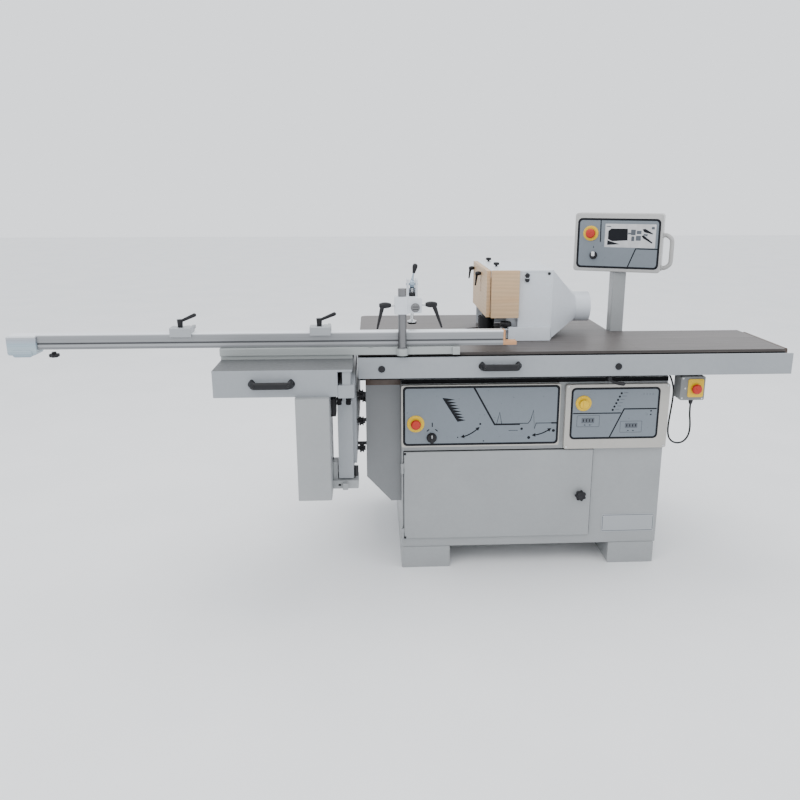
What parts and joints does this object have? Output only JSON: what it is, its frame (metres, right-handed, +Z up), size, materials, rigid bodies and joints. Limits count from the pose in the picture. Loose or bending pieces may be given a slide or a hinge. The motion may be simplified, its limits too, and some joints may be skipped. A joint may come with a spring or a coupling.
{
  "type": "sliding-table spindle moulder",
  "caption": "Cabinet woodworking machine with cast table, tilting hooded spindle, sliding carriage with long fence and clamp, front support bar and swivelling operator pod.",
  "frame": {"origin": "on the floor, under the middle of the overall box", "axes": "+X to the operator's right along the fence, +Y away from the operator, +Z up"},
  "size_m": [2.888, 1.139, 1.389],
  "materials": {
    "enamel": "satin enamel, warm light grey",
    "enamel_white": "satin enamel, near white",
    "ground_iron": "ground, fine lines along X",
    "panel_grey": "satin screen-printed sheet",
    "signal_yellow": "moulded",
    "signal_red": "moulded",
    "box_grey": "moulded",
    "cable_black": "sheathed cable",
    "black_plastic": "fine moulded grain",
    "plywood": "lacquered",
    "dark_iron": "as cast",
    "steel": "brushed",
    "steel_dark": "blackened",
    "anodised_aluminium": "anodised extrusion",
    "belt_rubber": "ribbed belt",
    "pod_grey": "satin enamel"
  },
  "bodies": {
    "machine": {"plinth_feet": "enamel", "base_cabinet": "enamel", "motor_side_cover": "enamel", "main_table": "ground_iron", "table_wing": "ground_iron", "control_panel_frames": "panel_grey", "estop_collars": "signal_yellow", "estop_box": "box_grey", "estop_cable": "cable_black", "carriage_rail": "enamel", "rail_mount_plate": "enamel", "rail_lobe_nuts": "black_plastic", "hood_shell": "enamel_white", "dust_port": "enamel_white", "hood_front_panel": "plywood", "hood_hand_knobs": "black_plastic", "tilt_guide_plates": "dark_iron", "pod_column": "enamel"},
    "front_bar_slide": {"front_bar": "enamel", "front_bar_handle": "black_plastic"},
    "bar_lock": {"front_bar_lock_lever": "black_plastic"},
    "door": {"door": "enamel"},
    "door_latch": {"door_latch_knob": "black_plastic"},
    "left_stop_button": {"left_estop_button": "signal_red"},
    "isolator": {"main_isolator_knob": "signal_yellow"},
    "left_selector": {"left_selector_knob": "black_plastic"},
    "box_stop_button": {"box_estop_button": "signal_red"},
    "carriage": {"carriage_body": "enamel", "carriage_handle": "black_plastic", "carriage_bearing_block": "steel", "hanging_arm": "enamel", "fence_carrier": "anodised_aluminium", "fence_profile": "anodised_aluminium", "fence_wood_tip": "plywood", "clamp_column": "steel"},
    "upper_roller_left": {"upper_guide_roller_left": "steel_dark"},
    "upper_roller_right": {"upper_guide_roller_right": "steel_dark"},
    "lower_roller": {"lower_roller_right": "steel_dark"},
    "fence_extension": {"fence_extension_bar": "anodised_aluminium"},
    "extension_knob": {"extension_lock_knob": "black_plastic"},
    "stop_left": {"stop_block_left": "anodised_aluminium"},
    "finger_left": {"stop_finger_left": "steel"},
    "stop_right": {"stop_block_right": "anodised_aluminium"},
    "finger_right": {"stop_finger_right": "steel"},
    "clamp_head": {"clamp_head": "enamel_white"},
    "clamp_arm": {"clamp_arm": "enamel_white"},
    "clamp_cam": {"clamp_eccentric": "steel"},
    "clamp_plunger": {"clamp_plunger": "steel"},
    "column_lever": {"clamp_lever_column": "black_plastic"},
    "arm_lever": {"clamp_lever_arm": "black_plastic"},
    "side_panel": {"hood_side_panel": "plywood"},
    "tilt_cradle": {"tilt_cradle": "dark_iron"},
    "quill": {"spindle_quill": "dark_iron", "spindle_motor": "dark_iron", "drive_belt": "belt_rubber"},
    "spindle": {"spindle_shaft": "steel_dark"},
    "motor_rotor": {"motor_pulley": "dark_iron"},
    "pod": {"pod_housing": "pod_grey"},
    "pod_stop_button": {"pod_estop_button": "signal_red"},
    "pod_selector": {"pod_selector_knob": "black_plastic"}
  },
  "joints": [
    {"name": "front_bar_pull", "type": "slide", "parent": "machine", "child": "front_bar_slide", "axis": [0, -1, 0], "range_m": [0, 0.4]},
    {"name": "bar_lock_turn", "type": "hinge", "parent": "front_bar_slide", "child": "bar_lock", "pos_m": [0.745, -0.3415, 0.811], "axis": [0, 0, -1], "range_deg": [-60, 60]},
    {"name": "door_swing", "type": "hinge", "parent": "machine", "child": "door", "pos_m": [-0.033, -0.2695, 0.3], "axis": [0, 0, -1], "range_deg": [0, 110]},
    {"name": "door_latch_turn", "type": "hinge", "parent": "door", "child": "door_latch", "pos_m": [0.676, -0.2695, 0.307], "axis": [0, 1, 0], "range_deg": [0, 90]},
    {"name": "left_stop_press", "type": "slide", "parent": "machine", "child": "left_stop_button", "axis": [0, 1, 0], "range_m": [0, 0.0035], "stiffness_N_per_m": 500},
    {"name": "box_stop_press", "type": "slide", "parent": "machine", "child": "box_stop_button", "axis": [0, 1, 0], "range_m": [0, 0.0035], "stiffness_N_per_m": 500},
    {"name": "isolator_turn", "type": "hinge", "parent": "machine", "child": "isolator", "pos_m": [0.669, -0.2775, 0.686], "axis": [0, -1, 0], "range_deg": [0, 90]},
    {"name": "left_selector_turn", "type": "hinge", "parent": "machine", "child": "left_selector", "pos_m": [0.081, -0.2775, 0.556], "axis": [0, -1, 0], "range_deg": [-45, 45]},
    {"name": "carriage_travel", "type": "slide", "parent": "machine", "child": "carriage", "axis": [0, 1, 0], "range_m": [-0.05, 0.36]},
    {"name": "upper_roller_left_spin", "type": "hinge", "parent": "carriage", "child": "upper_roller_left", "pos_m": [-0.2616, -0.4355, 0.771], "axis": [0, 0, 1], "range_deg": [-2300, 400]},
    {"name": "upper_roller_right_spin", "type": "hinge", "parent": "carriage", "child": "upper_roller_right", "pos_m": [-0.229, -0.4355, 0.771], "axis": [0, 0, 1], "range_deg": [-400, 2300]},
    {"name": "lower_roller_spin", "type": "hinge", "parent": "carriage", "child": "lower_roller", "pos_m": [-0.2083, -0.4355, 0.485], "axis": [0, 0, 1], "range_deg": [-400, 2600]},
    {"name": "fence_extension_pull", "type": "slide", "parent": "carriage", "child": "fence_extension", "axis": [-1, 0, 0], "range_m": [0, 0.5]},
    {"name": "extension_knob_turn", "type": "hinge", "parent": "carriage", "child": "extension_knob", "pos_m": [-1.293, -0.3175, 0.92], "axis": [0, 0, 1], "range_deg": [-180, 180]},
    {"name": "stop_left_travel", "type": "slide", "parent": "carriage", "child": "stop_left", "axis": [1, 0, 0], "range_m": [-0.45, 0.36]},
    {"name": "stop_right_travel", "type": "slide", "parent": "carriage", "child": "stop_right", "axis": [1, 0, 0], "range_m": [-0.36, 0.18]},
    {"name": "finger_left_flip", "type": "hinge", "parent": "stop_left", "child": "finger_left", "pos_m": [-0.809, -0.283, 0.994], "axis": [1, 0, 0], "range_deg": [-85, 45]},
    {"name": "finger_right_flip", "type": "hinge", "parent": "stop_right", "child": "finger_right", "pos_m": [-0.309, -0.283, 0.994], "axis": [1, 0, 0], "range_deg": [-85, 45]},
    {"name": "clamp_height", "type": "slide", "parent": "carriage", "child": "clamp_head", "axis": [0, 0, 1], "range_m": [-0.06, 0.015]},
    {"name": "clamp_reach", "type": "slide", "parent": "clamp_head", "child": "clamp_arm", "axis": [0, 1, 0], "range_m": [-0.018, 0.02]},
    {"name": "clamp_cam_turn", "type": "hinge", "parent": "clamp_arm", "child": "clamp_cam", "pos_m": [0.012, -0.2605, 1.148], "axis": [1, 0, 0], "range_deg": [0, 85]},
    {"name": "clamp_plunger_press", "type": "slide", "parent": "clamp_arm", "child": "clamp_plunger", "axis": [0, 0, 1], "range_m": [-0.0076, 0.0001]},
    {"name": "column_lever_turn", "type": "hinge", "parent": "clamp_head", "child": "column_lever", "pos_m": [-0.0565, -0.3615, 1.084], "axis": [-1, 0, 0], "range_deg": [0, 60]},
    {"name": "arm_lever_turn", "type": "hinge", "parent": "clamp_head", "child": "arm_lever", "pos_m": [0.0365, -0.3615, 1.086], "axis": [1, 0, 0], "range_deg": [-60, 0]},
    {"name": "side_panel_height", "type": "slide", "parent": "machine", "child": "side_panel", "axis": [0, 0, 1], "range_m": [0, 0.065]},
    {"name": "spindle_tilt", "type": "hinge", "parent": "machine", "child": "tilt_cradle", "pos_m": [0.339, 0.1195, 0.9], "axis": [0, 1, 0], "range_deg": [0, 45]},
    {"name": "spindle_height", "type": "slide", "parent": "tilt_cradle", "child": "quill", "axis": [0, 0, 1], "range_m": [-0.12, 0]},
    {"name": "spindle_spin", "type": "hinge", "parent": "quill", "child": "spindle", "pos_m": [0.339, 0.1195, 0.9], "axis": [0, 0, 1], "continuous": true},
    {"name": "motor_spin", "type": "hinge", "parent": "quill", "child": "motor_rotor", "pos_m": [0.339, 0.3265, 0.56], "axis": [0, 0, 1], "continuous": true},
    {"name": "pod_swivel", "type": "hinge", "parent": "machine", "child": "pod", "pos_m": [0.897, 0.1305, 1.131], "axis": [0, 0, 1], "range_deg": [-60, 60]},
    {"name": "pod_stop_press", "type": "slide", "parent": "pod", "child": "pod_stop_button", "axis": [0.4067, 0.9136, 0], "range_m": [0, 0.0035], "stiffness_N_per_m": 500},
    {"name": "pod_selector_turn", "type": "hinge", "parent": "pod", "child": "pod_selector", "pos_m": [0.78694, 0.12915, 1.217], "axis": [-0.4067, -0.9136, 0], "range_deg": [-45, 45]}
  ],
  "couplings": [
    {"joint": "upper_roller_left_spin", "follows": "carriage_travel", "rad_per_m": -108.7},
    {"joint": "upper_roller_right_spin", "follows": "carriage_travel", "rad_per_m": 108.7},
    {"joint": "lower_roller_spin", "follows": "carriage_travel", "rad_per_m": 121.95},
    {"joint": "clamp_plunger_press", "follows": "clamp_cam_turn", "m_per_rad": -0.00505},
    {"joint": "motor_spin", "follows": "spindle_spin", "ratio": 0.8148}
  ]
}
